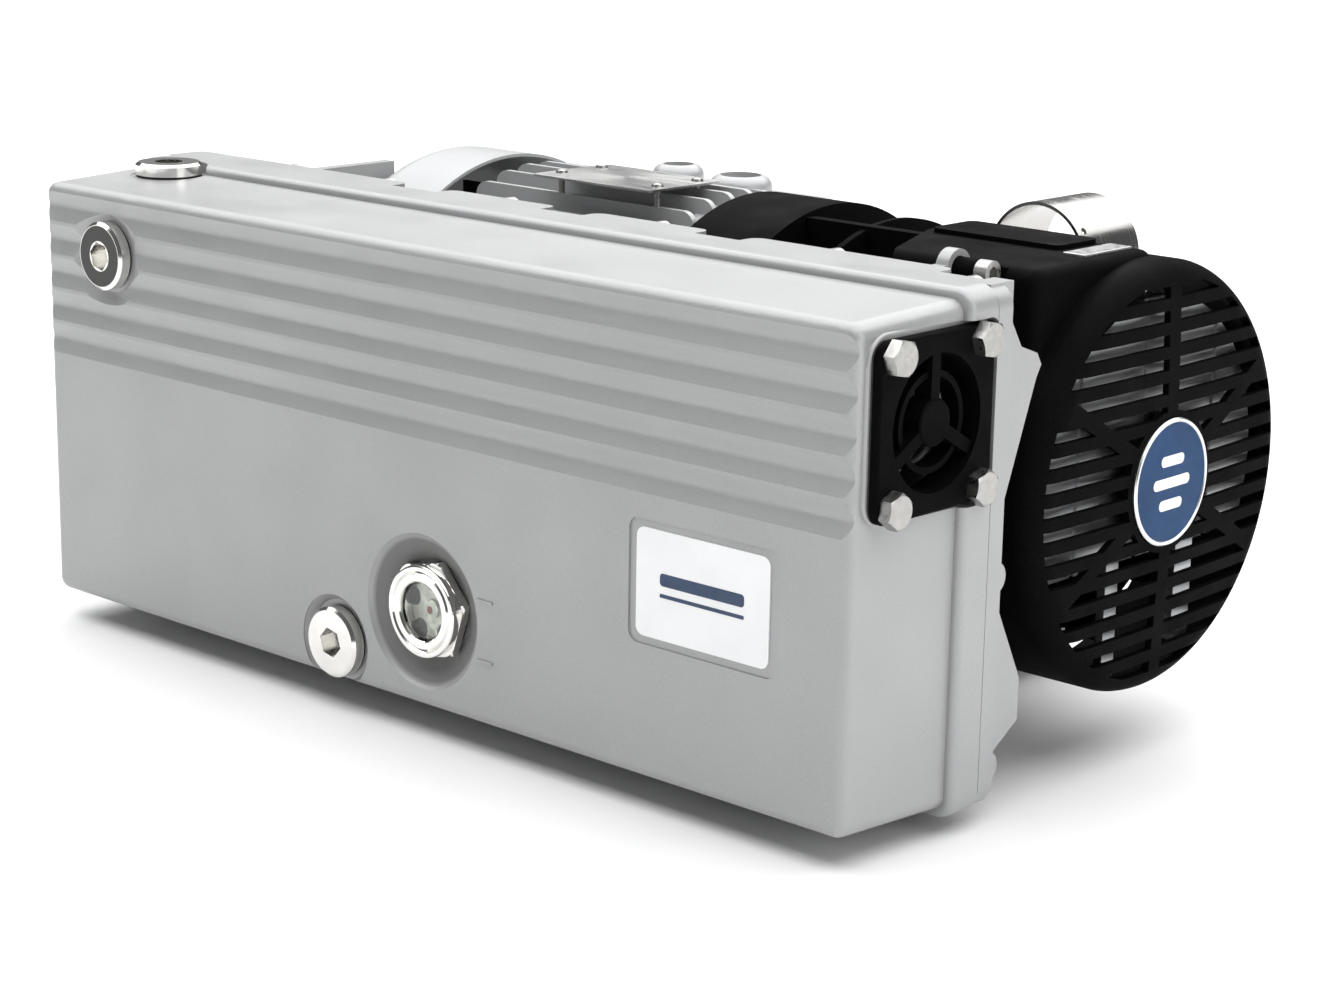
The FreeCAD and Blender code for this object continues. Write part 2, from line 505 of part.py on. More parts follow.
def pump_cylinder():
    neck_y = PLATE_Y + PLATE_T
    parts = [box(PUMP_X0, PUMP_X1, neck_y, AXIS_Y, 55, 145),
             box(INLET_X - 22, PUMP_X1, INLET_Y - 22, INLET_Y + 22, BORE_Z, HOUSING_Z0),
             rod_x(PUMP_X0, PUMP_X0 + 8, 76)]
    foot_x, foot_y = REAR_FEET[1]
    body = rod_x(PUMP_X0, PUMP_X1, PUMP_BODY_R, AXIS_Y, BORE_Z)
    body = body.fuse(parts + rear_leg(REAR_FEET[1], AXIS_Y, 60, 100, 56))
    cuts = [rod_x(PUMP_X0 - 1, PUMP_X1 + 1, BORE_R, AXIS_Y, BORE_Z),
            box(PORT_X0, PORT_X1, neck_y - 5, AXIS_Y - 30, PORT_Z0, PORT_Z1),
            rod(V(foot_x, foot_y, -5), Z, 4.0, 30)]
    # suction passage from the inlet pad down into the bore, and room for the valve stem
    inlet_at = V(INLET_X, INLET_Y, HOUSING_Z0)
    cuts += [rod(inlet_at, Z, HOUSING_R + 0.1, 40), rod(V(INLET_X - 7, INLET_Y - 8, BORE_Z + 20), Z, 8, 60),
             rod(inlet_at - Z * 9, Z, 3.6, 20), rod(inlet_at - Z * 2, Z, 17, 3)]
    for cover_x in (PUMP_X0, PUMP_X1):
        cuts += [rod(at - X * 14, X, M6_TAP, 28) for at in cover_screw_places(cover_x)]
    save("pump_cylinder", body.cut(cuts).removeSplitter())


def end_cover(name, x0, outer):
    """Cover with a bush in its inner part, a seal in its outer part and six sunk screws."""
    body = fillet(rod_x(x0, x0 + COVER_T, PUMP_BODY_R - 1, AXIS_Y, BORE_Z), 1.5, lambda e: True)
    cuts = [rod_x(x0 - 1, x0 + COVER_T + 1, BUSH_R), rod_x(outer, outer + SEAL_T, SEAL_R)]
    for at in cover_screw_places(outer):
        cuts += [rod(V(x0 - 1, at.y, at.z), X, M6_HOLE, COVER_T + 2), rod(at, X, M6_TAP + 1.7, SEAL_T)]
    save(name, body.cut(cuts))


def end_covers():
    inner = COVER_T - SEAL_T
    motor_x, fan_x = PUMP_X0 - COVER_T, PUMP_X1
    end_cover("end_cover_motor_side", motor_x, motor_x)
    end_cover("end_cover_fan_side", fan_x, fan_x + inner)
    reach = inner + 10
    screws = [socket_screw(M6_THREAD, reach, at - X * inner, X) for at in cover_screw_places(PUMP_X0)]
    screws += [socket_screw(M6_THREAD, reach, at + X * inner, LEFT) for at in cover_screw_places(PUMP_X1)]
    save("end_cover_screws", Part.makeCompound(screws))
    bore = SHAFT_R + RUN
    bushes = [ring_x(x, x + inner, BUSH_R, bore) for x in (PUMP_X0 - inner, PUMP_X1)]
    seals = [ring_x(x, x + SEAL_T, SEAL_R, bore) for x in (motor_x, fan_x + inner)]
    save("rotor_bushes", Part.makeCompound(bushes))
    save("shaft_seals", Part.makeCompound(seals))


def radial_slab(angle, half_width, r0, r1, x0, x1):
    """A radial slab about the rotor axis; the angle is taken from straight up, towards -Y."""
    slab = box(x0, x1, AXIS_Y - half_width, AXIS_Y + half_width, AXIS_Z + r0, AXIS_Z + r1)
    return turned(slab, angle)


def rotor_and_vanes():
    side_gap = 0.15
    rotor = rod_x(PUMP_X0 + side_gap, PUMP_X1 - side_gap, ROTOR_R).fuse(rod_x(302, 474, SHAFT_R))
    root = ROTOR_R - VANE_H
    for i, angle in enumerate(VANE_REST):
        rotor = rotor.cut(radial_slab(angle, VANE_T / 2, root - 3, ROTOR_R + 1, PUMP_X0 - 1, PUMP_X1 + 1))
        vane = radial_slab(angle, VANE_T / 2 - 0.1, root - 0.2, ROTOR_R - 0.2, PUMP_X0 + 0.3, PUMP_X1 - 0.3)
        save(f"vane_{i + 1}", vane)
    save("pump_rotor", rotor)


def reed_valve():
    """Spring strip over the exhaust passage, hinged at its clamped lower edge, and its stop."""
    x0, x1, low, high = PUMP_X0 + 20, PUMP_X1 - 20, PORT_Z0, 134
    seat = box(x0 - 2, x1 + 2, REED_Y, REED_Y + 6, low, PORT_Z1)
    seat = seat.cut([rod(V(x, REED_Y - 1, 125), Y, 5, 8) for x in (x0 + 9, x0 + 25, x0 + 41)])
    save("exhaust_reed", box(x0, x1, REED_Y - REED_GAP - REED_T, REED_Y - REED_GAP, low + 1, high))
    stop = box(x0, x1, REED_Y - 12, REED_Y - 11, low + 1, high)
    stop = stop.fuse(box(x0, x1, REED_Y - 12, REED_Y - 1.5, low, low + 1))
    save("exhaust_valve_seat", Part.makeCompound([seat, stop]))


# ---------------------------------------------------------------- suction side
def inlet_tee():
    """Short steel tube open at both ends, with a branch down into the valve housing."""
    near = INLET_Y - INLET_L / 2
    tube = rod(V(INLET_X, near, INLET_Z), Y, INLET_R, INLET_L)
    branch = rod(V(INLET_X, INLET_Y, SEAT_Z), Z, BRANCH_R, INLET_Z - SEAT_Z)
    cuts = [rod(V(INLET_X, near - 1, INLET_Z), Y, INLET_R - STEEL, INLET_L + 2),
            rod(V(INLET_X, INLET_Y, SEAT_Z - 1), Z, BRANCH_R - STEEL, INLET_Z - SEAT_Z + 1),
            rod(V(INLET_X + INLET_R - 6, near + 5, INLET_Z + 14), V(1, 0, 0.4), 1.6, 12)]
    save("inlet_tee", tube.fuse(branch).cut(cuts).removeSplitter())


def inlet_valve():
    """Housing, screen, poppet and spring of the suction valve."""
    at = V(INLET_X, INLET_Y, 0)
    floor, stem_r = HOUSING_Z0 + 3, 3.0
    housing = rod(at + Z * HOUSING_Z0, Z, HOUSING_R, HOUSING_Z1 - HOUSING_Z0)
    housing = fillet(housing, 1.5, lambda e: e.BoundBox.ZMin > HOUSING_Z1 - 1)
    cuts = [rod(at + Z * SEAT_Z, Z, BRANCH_R + 0.02, 20), rod(at + Z * floor, Z, CHAMBER_R, SEAT_Z - floor),
            rod(at + Z * (HOUSING_Z0 - 1), Z, stem_r + RUN, 10)]
    for i in range(4):
        a = math.radians(45 + 90 * i)
        cuts.append(rod(at + V(11.5 * math.cos(a), 11.5 * math.sin(a), HOUSING_Z0 - 1), Z, 3.6, 8))
    save("inlet_housing", housing.cut(cuts))
    pitch, steps = 3.2, range(-3, 4)
    grid = [(i * pitch, j * pitch) for i in steps for j in steps if math.hypot(i, j) * pitch < 10.6]
    screen = rod(at + Z * 163, Z, BRANCH_R - STEEL, 0.8)
    save("inlet_screen", screen.cut([rod(at + V(x, y, 162), Z, 1.1, 3) for x, y in grid]))
    top, disc = SEAT_Z - 0.3, 2.0
    stem = rod(at + Z * (HOUSING_Z0 + 0.5), Z, stem_r, top - HOUSING_Z0 - 1)
    save("inlet_valve", rod(at + Z * (top - disc), Z, POPPET_R, disc).fuse(stem))
    save("inlet_valve_spring", coil(at + Z * (floor + 0.1), Z, 6.5, 0.35, top - disc - floor - 0.2, 2.5))


# ---------------------------------------------------------------- cooling fan, cooler, cowls
def cooling_fan():
    hub = rod_x(FAN_X0, FAN_X1 - 2, 20).fuse(rod_x(FAN_X0, FAN_X0 + 3, FAN_R - 4))
    root = AXIS_Z + 18
    blade = box(FAN_X0 + 1, FAN_X1, AXIS_Y - 1.2, AXIS_Y + 1.2, root, AXIS_Z + FAN_R)
    blade.rotate(V(0, AXIS_Y, root), X, 22)
    fan = hub.fuse([turned(blade, 360 / FAN_BLADES * i) for i in range(FAN_BLADES)])
    fan = fan.common(rod_x(FAN_X0 - 5, FAN_X1 + 5, FAN_R)).cut(rod_x(FAN_X0 - 1, FAN_X1 + 1, SHAFT_R))
    save("cooling_fan", fan.removeSplitter())


def oil_pipe(z):
    """Pipe from the cooler back past the fan and round into the back plate."""
    half = PIPE_BEND * math.sqrt(0.5)
    start = V(COOLER_X0 + 4, PIPE_Y, z)
    turn_in, turn_out = V(PIPE_X + PIPE_BEND, PIPE_Y, z), V(PIPE_X, PIPE_Y - PIPE_BEND, z)
    middle = V(PIPE_X + PIPE_BEND - half, PIPE_Y - PIPE_BEND + half, z)
    end = V(PIPE_X, PLATE_Y + PLATE_T, z)
    runs = [Part.LineSegment(start, turn_in), Part.Arc(turn_in, middle, turn_out),
            Part.LineSegment(turn_out, end)]
    path = Part.Wire([run.toShape() for run in runs])
    section = Part.Wire(Part.makeCircle(PIPE_R, start, X))
    return path.makePipeShell([section], True, False)


def oil_cooler():
    """Round cooler block with a flat front and fins at its back, two brackets and two pipes."""
    disc = rod_x(COOLER_X0, COOLER_X1, COOLER_R)
    block = disc.cut(box(COOLER_X0 - 1, COOLER_X1 + 1, 0, 400, 0, COOLER_LOW))
    fins, depth = [], 6.0
    for i in range(-12, 13):
        y = AXIS_Y + 6.2 * i
        fins.append(box(COOLER_X0 - 1, COOLER_X0 + depth, y - 1.7, y + 1.7, 0, 200))
    grooves = [box(COOLER_X1 - 1.2, COOLER_X1 + 1, y - 1.5, y + 1.5, 0, 200) for y in (150, 196, 214, 250)]
    block = block.cut(fins + grooves)
    headers = [box(COOLER_X0, COOLER_X1, AXIS_Y - 84, AXIS_Y - 73, AXIS_Z + h - 6, AXIS_Z + h + 6)
               for h in (-PIPE_DZ, PIPE_DZ)]
    legs = [box(COOLER_X0 + 6, COOLER_X1 - 2, 179, 188, AXIS_Z - 84, COOLER_LOW + 4),
            box(COOLER_X0 + 6, COOLER_X1 - 2, 232, 245, AXIS_Z - 78, COOLER_LOW + 4)]
    block = block.fuse(headers + legs).removeSplitter()
    save("oil_cooler", Part.makeCompound([block, oil_pipe(AXIS_Z - PIPE_DZ), oil_pipe(AXIS_Z + PIPE_DZ)]))


def drum(off, back):
    """Solid of the fan cowl drum from back to its domed front, drawn in by off."""
    front, side = COWL_FRONT - off, COWL_R - off
    rim = V(front - COWL_EDGE, 0, side)
    slope = math.radians(48)
    mid = V(rim.x + (COWL_EDGE - 2.5) * math.sin(slope), 0, side - COWL_EDGE * (1 - math.cos(slope)))
    end, tip = V(front - 2.2, 0, side - COWL_EDGE), V(front, 0, 0)
    start, corner = V(back, 0, 0), V(back, 0, side)
    edges = [Part.LineSegment(start, corner), Part.LineSegment(corner, rim), Part.Arc(rim, mid, end),
             Part.Arc(end, V(front - 0.6, 0, side * 0.45), tip), Part.LineSegment(tip, start)]
    face = Part.Face(Part.Wire([edge.toShape() for edge in edges]))
    solid = Part.makeSolid(face.revolve(V(0, 0, 0), X, 360).Shells[0])
    solid.translate(V(0, AXIS_Y, AXIS_Z))
    return solid


def grille_slots():
    """Horizontal slots, parted by six ribs and kept clear of the rim and the badge."""
    x0, x1 = COWL_FRONT - 22, COWL_FRONT + 5
    field = ring_x(x0, x1, SLOT_REACH, BADGE_R + 3)
    for angle, width in ((0, RIB), (60, SLANT_RIB), (120, SLANT_RIB)):
        rib = box(x0 - 1, x1 + 1, AXIS_Y - width / 2, AXIS_Y + width / 2, 0, 2 * AXIS_Z)
        field = field.cut(turned(rib, angle))
    slots, smallest = [], 25 * (x1 - x0)
    for row in range(-SLOT_ROWS, SLOT_ROWS + 1):
        z = AXIS_Z + row * SLOT_PITCH
        strip = box(x0 - 1, x1 + 1, 0, 400, z - SLOT_H / 2, z + SLOT_H / 2)
        slots += [slot for slot in field.common(strip).Solids if slot.Volume > smallest]
    return slots


def hood_block(x0, x1, off):
    """Flat topped box of the shroud with rounded long edges, drawn in by off."""
    top = SHROUD_TOP - off
    block = box(x0, x1, HOOD_Y0 + off, HOOD_Y1 - off, HOOD_LOW - off * 5, top)
    return fillet(block, 6 - off, lambda e: runs_along(e, X) and e.BoundBox.ZMin > top - 1)


def hood_corner(off):
    """Wedge off the near left corner of the box, so that its left end runs slantwise."""
    slant = HOOD_SLANT + 1.4 * off
    points = [(HOOD_X - 1, HOOD_Y0 - 1, 100), (HOOD_X + slant, HOOD_Y0 - 1, 100),
              (HOOD_X - 1, HOOD_Y0 + 2.4 * slant, 100)]
    return prism(points, Z, 200)


def fan_cowl():
    """Round drum with a domed, slotted front, and the end of the flat box on its top."""
    end = COWL_X + SHOULDER
    shoulder = hood_block(COWL_X, end, 0)
    top = SHROUD_TOP - 10
    shoulder = fillet(shoulder, 5, lambda e: e.BoundBox.XMin > end - 0.1 and e.BoundBox.ZMax > top)
    hollow = hood_block(COWL_X - 5, end - SKIN, SKIN)
    shoulder = shoulder.cut([hollow, rod_x(COWL_X - 5, end + 5, COWL_R - SKIN)])
    body = drum(0, COWL_X).cut(drum(SKIN, COWL_X - 1)).fuse(shoulder)
    body = body.cut(grille_slots()).cut(rod_x(COWL_FRONT - 1.6, COWL_FRONT + 2, BADGE_R + 0.3))
    save("fan_cowl", body.removeSplitter())
    r = BADGE_R
    rim = [(0, -1.4), (r, -1.4), (r, 0.8), (r - 0.6, 1.4), (r - 1.6, 1.4), (r - 2.0, 0.9), (0, 1.2)]
    save("badge", revolve(rim, V(COWL_FRONT - 0.2, AXIS_Y, AXIS_Z), X))


def air_shroud():
    """An arch over the coupling, a recess with ribs, a flat topped box and a round skirt."""
    inner = STEP_R - SKIN
    arch = ring_x(SHROUD_X, STEP_X, SHROUD_R, SHROUD_R - SKIN)
    strut = box(STEP_X, HOOD_X, AXIS_Y - 22, AXIS_Y - 16, AXIS_Z + STEP_R - 8, AXIS_Z + SHROUD_R - 4)
    rings = [ring_x(STEP_X - SKIN, STEP_X, SHROUD_R, inner), ring_x(350, 353, SHROUD_R - 3, inner),
             ring_x(STEP_X - SKIN, HOOD_X + SKIN, STEP_R, inner)]
    arch = arch.fuse(rings + [strut.cut(rod_x(300, 400, STEP_R - 1))])
    arch = arch.cut(box(200, 500, 0, 400, -50, 150))
    hood = hood_block(HOOD_X, COWL_X, 0).cut(hood_corner(0))
    hollow = hood_block(HOOD_X + SKIN, COWL_X + 5, SKIN).cut(hood_corner(SKIN))
    hood = hood.cut([hollow, rod_x(300, 500, inner)])
    panel = plate(67, 30, 4, V(424.5, 194, SHROUD_TOP - 1), Z, 3)
    body = arch.fuse([hood, panel, ring_x(SKIRT_X, COWL_X, COWL_R, COWL_R - SKIN)])
    # boss in the eye of the back plate, tied to the box by a lug
    boss = rod_x(EYE_X - 3, EYE_X + 16, 5.0, EYE_Y, EYE_Z)
    lug = box(EYE_X + 9, EYE_X + 16, EYE_Y - 4, HOOD_Y0 + 3, EYE_Z - 7, EYE_Z + 1)
    body = body.fuse([boss, lug])
    # room for the oil pipes, the pump, the screw and its head
    cuts = [box(SKIRT_X - 5, SKIRT_X + 9, 100, 132, 84, 132), rod_x(300, HOOD_X + 60, 62, AXIS_Y, BORE_Z),
            rod_x(EYE_X + 7, EYE_X + 16, M8_TAP, EYE_Y, EYE_Z),
            rod_x(EYE_X + 16, COWL_X + 1, 11, EYE_Y + 4, EYE_Z + 1)]
    save("air_shroud", body.cut(cuts).removeSplitter())


def shroud_fixings():
    """Screw in the boss of the shroud, and the sheet clip over the seam with the fan cowl."""
    save("shroud_screw", socket_screw(SHROUD_SCREW_R, 8.5, V(EYE_X + 16.2, EYE_Y, EYE_Z), LEFT))
    clip = box(COWL_X - 2, COWL_X + 9, 172, 206, SHROUD_TOP, SHROUD_TOP + 1.2)
    save("cowl_clip", fillet(clip, 0.5, lambda e: e.BoundBox.ZMin > SHROUD_TOP + 1))


# ---------------------------------------------------------------- coupling and lantern
def coupling_hub(name, x0, x1, jaw0, jaw1, bore, turn):
    body = rod_x(x0, x1, 30)
    tooth = box(jaw0, jaw1, AXIS_Y - 9, AXIS_Y + 9, AXIS_Z, AXIS_Z + 40)
    jaw = ring_x(jaw0, jaw1, 29, 20).common(tooth)
    body = body.fuse([turned(jaw, turn + 120 * i) for i in range(3)])
    save(name, body.cut(rod_x(x0 - 1, x1 + 1, bore)).removeSplitter())


def coupling():
    coupling_hub("coupling_hub_motor", 276, 290, 290, 299, MOTOR_SHAFT_R, 0)
    coupling_hub("coupling_hub_pump", 302, 318, 293, 302, SHAFT_R, 60)
    gap = box(290, 302, AXIS_Y - 9.3, AXIS_Y + 9.3, AXIS_Z + 17.5, AXIS_Z + 40)
    save("coupling_spider", ring_x(291, 301, 28.5, 13).cut([turned(gap, 60 * i) for i in range(6)]))


def motor_lantern():
    """Open casting that joins the motor flange to the pump, with windows to the coupling."""
    ring = ring_x(266, PUMP_X0, 76, 68)
    flange = ring_x(MOTOR_X1, 272, FLANGE_R, BEARING_R)
    spigot = ring_x(MOTOR_X1 - 8, MOTOR_X1, FRAME_IN, BEARING_R)
    foot_x, foot_y = REAR_FEET[0]
    pad, web = rear_leg(REAR_FEET[0], AXIS_Y, 40, 100, 74)
    body = ring.fuse([flange, spigot, pad, web.cut(rod_x(250, 350, 70))])
    window = box(282, 314, AXIS_Y - 18, AXIS_Y + 18, AXIS_Z + 60, AXIS_Z + 80)
    cuts = [turned(window, a) for a in (0, 90, 180)] + [rod(V(foot_x, foot_y, -5), Z, 4.0, 30)]
    hole = rod_x(260, 280, M8_HOLE, AXIS_Y, AXIS_Z + FLANGE_BOLT_R)
    bolt = hex_bolt(16, V(272, AXIS_Y, AXIS_Z + FLANGE_BOLT_R), LEFT)
    corners = [45 + 90 * i for i in range(4)]
    save("motor_lantern", body.cut(cuts + [turned(hole, a) for a in corners]).removeSplitter())
    save("lantern_bolts", Part.makeCompound([turned(bolt, a) for a in corners]))


# ---------------------------------------------------------------- motor
def fin(offset, x0, x1):
    """One vertical cooling fin on top, at a distance from the middle plane."""
    top = math.sqrt(FIN_R ** 2 - offset ** 2)
    base = math.sqrt(max((FRAME_R - 4) ** 2 - offset ** 2, 0))
    y = AXIS_Y + offset
    sheet = box(x0, x1, y - FIN_T / 2, y + FIN_T / 2, AXIS_Z + base, AXIS_Z + top)
    r = min(7.0, (top - base) * 0.6)
    return fillet(sheet, r, lambda e: runs_along(e, Y) and e.BoundBox.ZMin > AXIS_Z + top - 0.1)


def terminal_room():
    """Flat seat for the terminal box on the far upper side of the frame."""
    x0, x1, y0, y1, z0, z1 = TERMINAL
    return box(x0 - 1, x1 + 1, y0 - 1, y1 + 20, z0 - 1, z1 + 30)


def motor_frame():
    barrel = ring_x(MOTOR_X0, MOTOR_X1, FRAME_R, FRAME_IN)
    end_ring = ring_x(MOTOR_X1 - 12, MOTOR_X1, FLANGE_R, FRAME_IN)
    fins = []
    for i in range(FINS):
        for side in (-1, 1):
            sheet = fin(side * FIN_PITCH * (i + 0.5), MOTOR_X0 + 8, MOTOR_X1 - 1)
            fins += [turned(sheet, a) for a in (0, 90, 180, 270)]
    body = barrel.fuse([end_ring] + fins)
    hole = rod_x(MOTOR_X1 - 14, MOTOR_X1 + 5, M8_TAP, AXIS_Y, AXIS_Z + FLANGE_BOLT_R)
    body = body.cut([turned(hole, 45 + 90 * i) for i in range(4)] + [terminal_room()])
    save("motor_frame", body.removeSplitter())


def motor_inside():
    windings = [ring_x(x, x + 20, 62, 45) for x in (CORE_X0 - 20, CORE_X1)]
    windings = [fillet(winding, 4, lambda e: True) for winding in windings]
    save("stator", Part.makeCompound([ring_x(CORE_X0, CORE_X1, FRAME_IN, 42)] + windings))
    save("motor_rotor", rod_x(66, 290, MOTOR_SHAFT_R).fuse(rod_x(CORE_X0, CORE_X1, 41.5)))
    shield = rod_x(MOTOR_X0 - 8, MOTOR_X0, 80).cut(rod_x(0, 200, BEARING_R))
    hole = rod_x(100, 120, 2.6, AXIS_Y, AXIS_Z + 73)
    save("motor_end_shield", shield.cut([turned(hole, 45 + 90 * i) for i in range(4)]))
    bearings = [ring_x(x - 8, x, BEARING_R, MOTOR_SHAFT_R + RUN) for x in (MOTOR_X0, MOTOR_X1)]
    save("motor_bearings", Part.makeCompound(bearings))


def motor_fan():
    hub = rod_x(74, 92, 22).fuse(rod_x(89, 92, 70))
    blade = box(74, 91, AXIS_Y - 1.2, AXIS_Y + 1.2, AXIS_Z + 20, AXIS_Z + 82)
    fan = hub.fuse([turned(blade, 45 * i) for i in range(8)]).cut(rod_x(60, 100, MOTOR_SHAFT_R))
    save("motor_fan", fan.removeSplitter())


def motor_fan_cowl():
    """Pressed sheet cowl, rounded at its outer end, with ring slots for the intake air."""
    edge, x0, x1 = 14.0, MOTOR_COWL_X0, MOTOR_COWL_X1
    outer = fillet(rod_x(x0, x1, MOTOR_COWL_R), edge, lambda e: e.BoundBox.XMax < x0 + 1)
    inner = rod_x(x0 + SHEET, x1 + 5, MOTOR_COWL_R - SHEET)
    inner = fillet(inner, edge - SHEET, lambda e: e.BoundBox.XMax < x0 + SHEET + 1)
    spoke = box(x0 - 8, x0 + 12, AXIS_Y - 3, AXIS_Y + 3, AXIS_Z, AXIS_Z + MOTOR_COWL_R)
    spokes = [turned(spoke, 60 * i) for i in range(6)]
    slots = [ring_x(x0 - 2, x0 + 6, r + 6, r).cut(spokes) for r in (18, 30.5, 43, 55.5, 68)]
    save("motor_fan_cowl", outer.cut(inner).cut(slots).removeSplitter())


def terminal_box():
    """Box with two domed cable entries on its top."""
    x0, x1, y0, y1, z0, z1 = TERMINAL
    body = fillet(box(x0, x1, y0, y1, z0, z1), 5, lambda e: e.BoundBox.ZMin > z0 + 1 or runs_along(e, Z))
    body = body.cut(rod_x(100, 300, FRAME_R))
    necks, holes = [], []
    for x, y, top, r, hole in GLANDS:
        neck = rod(V(x, y, z1 - 6), Z, r, top - z1 + 6)
        necks.append(fillet(neck, 5.5, lambda e: e.BoundBox.ZMin > top - 0.5))
        holes.append(rod(V(x, y, z1 - 10), Z, hole, 40))
    rooms = [box(x0 + 4, x1 - 4, y0 + 10, y1 - 4, z1 - 10, z1 - 6),
             box(x0 + 4, x1 - 4, y0 + 30, y1 - 4, z1 - 20, z1 - 6)]
    save("terminal_box", body.fuse(necks).cut(rooms + holes).removeSplitter())


def nameplate():
    """Blank plate on four studs that stand on the fins."""
    top = NAMEPLATE_Z + 1
    sheet = plate(NAMEPLATE_W, NAMEPLATE_D, 3, V(NAMEPLATE_X, NAMEPLATE_Y, NAMEPLATE_Z), Z, 1)
    studs, holes = [], []
    for offset in (0.5 * FIN_PITCH, 2.5 * FIN_PITCH):
        low = AXIS_Z + math.sqrt(FIN_R ** 2 - offset ** 2)
        profile = [(0, low), (1.5, low), (1.5, top), (3.0, top), (2.6, top + 1.2), (0, top + 1.8)]
        for x in (NAMEPLATE_X - 31, NAMEPLATE_X + 31):
            studs.append(revolve(profile, V(x, AXIS_Y - offset, 0), Z))
            holes.append(rod(V(x, AXIS_Y - offset, NAMEPLATE_Z - 1), Z, 1.6, 4))
    save("motor_nameplate", sheet.cut(holes))
    save("nameplate_studs", Part.makeCompound(studs))


def feet():
    """Rubber feet with a tapped hole from below and a peg in the casting above."""
    pads = []
    for x, y in FRONT_FEET + REAR_FEET:
        base = -DRAFT if y == FRONT_FEET[0][1] else 0.0
        profile = [(0, -FOOT_H), (FOOT_R - 1, -FOOT_H), (FOOT_R, -FOOT_H + 1), (FOOT_R - 1.5, -FOOT_H / 2),
                   (FOOT_R - 0.5, base), (0, base)]
        pad = revolve(profile, V(x, y, 0), Z).fuse(rod(V(x, y, base), Z, 3.9, 9))
        pads.append(pad.cut(rod(V(x, y, -FOOT_H - 1), Z, FOOT_THREAD_R, 10)))
    save("rubber_feet", Part.makeCompound(pads))


BUILD = (separator_casing, casing_gasket, ports, casing_label, exhaust, oil_baffle, float_gear,
         back_plate, pump_cylinder, end_covers, rotor_and_vanes, reed_valve, inlet_tee, inlet_valve,
         cooling_fan, oil_cooler, fan_cowl, air_shroud, shroud_fixings, coupling, motor_lantern,
         motor_frame, motor_inside, motor_fan, motor_fan_cowl, terminal_box, nameplate, feet)
for make in BUILD:
    make()

os.makedirs("parts", exist_ok=True)
for name, shape in nodes.items():
    if not shape.isValid() or not shape.Solids or any(s.Volume <= 0 for s in shape.Solids):
        print("CHECK", name, shape.isValid(), len(shape.Solids))
    shape.exportStep(f"parts/{name}.step")
print(len(nodes), "nodes")
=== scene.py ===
"""Looks of the oil-lubricated rotary vane vacuum pump: materials, small pieces, floor, lights and camera.

Metres, in the frame of the CAD parts: +X towards the cooling fan, +Y from the casing front to the pump,
+Z up.
"""

import json
import math

import bmesh
import bpy
from mathutils import Matrix, Vector

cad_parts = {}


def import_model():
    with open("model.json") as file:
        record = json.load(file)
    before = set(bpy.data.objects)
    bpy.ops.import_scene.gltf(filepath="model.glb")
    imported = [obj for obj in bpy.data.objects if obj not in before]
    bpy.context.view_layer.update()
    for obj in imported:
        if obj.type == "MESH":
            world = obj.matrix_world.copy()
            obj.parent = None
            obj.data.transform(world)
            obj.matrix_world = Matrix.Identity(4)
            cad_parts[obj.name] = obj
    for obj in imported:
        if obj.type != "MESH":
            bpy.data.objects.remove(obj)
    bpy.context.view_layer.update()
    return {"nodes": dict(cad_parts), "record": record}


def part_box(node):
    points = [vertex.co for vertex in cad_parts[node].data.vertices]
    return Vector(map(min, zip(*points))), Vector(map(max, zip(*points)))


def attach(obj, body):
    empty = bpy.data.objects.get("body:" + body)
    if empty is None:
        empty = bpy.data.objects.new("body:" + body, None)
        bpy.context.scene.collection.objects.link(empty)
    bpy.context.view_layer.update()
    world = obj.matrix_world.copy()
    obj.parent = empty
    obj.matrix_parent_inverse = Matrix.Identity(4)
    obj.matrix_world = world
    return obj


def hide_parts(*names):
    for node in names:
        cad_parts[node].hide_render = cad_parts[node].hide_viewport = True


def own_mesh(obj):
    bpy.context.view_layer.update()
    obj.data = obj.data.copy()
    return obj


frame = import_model()

# ------------------------------------------------------------------ sizes
SOCKET_R = 0.0071             # hexagon socket in the face of a collar plug
PLUG_RIM = 0.0017             # bright rim round that face
DARK_REFLECTION_DEPTH = 0.0003            # depth of the painted dark reflection on the plug's face
BADGE_RIM = 0.0019            # silver rim of the badge
DISH_R = 0.0322               # dish round the sight glass: bare casting, darkened with painted shade of the recess
DISH_EDGE = 0.001             # softness of the dish's edge
DISH_FRONT = -0.0455          # Y from which the dish is bare casting with painted shade
DISH_BACK = -0.03

BAR_SUNK = -0.0004            # heights of a bar's three outlines over the face under it
BAR_SHOULDER = 0.00006
BAR_TOP = 0.00012
BAR_SOFT = 0.0003             # the top outline is narrower by this
CORNER_STEPS = 8
LABEL_BARS = ((0.044, 0.0052, 0.0026), (0.044, 0.0016, -0.0040))    # width, height, rise of the middle
LABEL_CORNER = 0.3            # corner radius as a part of the height
BADGE_BARS = (0.017, 0.027, 0.017)    # widths, from below
BADGE_BAR_H = 0.0046
BADGE_BAR_R = 0.0022
BADGE_PITCH = 0.0095
BADGE_CROWN = 0.0002          # the bars lie this far under the badge's highest point

SPOT_R = 0.0018
SPOT_DEPTH = 0.0003
SPOT_SUNK = 0.0001

NUT_CORNER = 0.0236           # radius over the corners of the sight glass nut
NUT_TURNED = 0.0222           # radius of its chamfered face
NUT_TURN = 12                 # degrees
NUT_BACK = 0.0078             # depths behind the front of the sight glass ring
NUT_FRONT = 0.0046
NUT_FACE = 0.0038
FLAT_STEPS = 12
RIM = ((0.0204, 0.0036), (0.0204, 0.0007), (0.0201, 0.0002),    # radius and depth of the round rim,
       (0.0196, 0), (0.0180, 0), (0.0165, 0.0015))              # from the nut to its bore

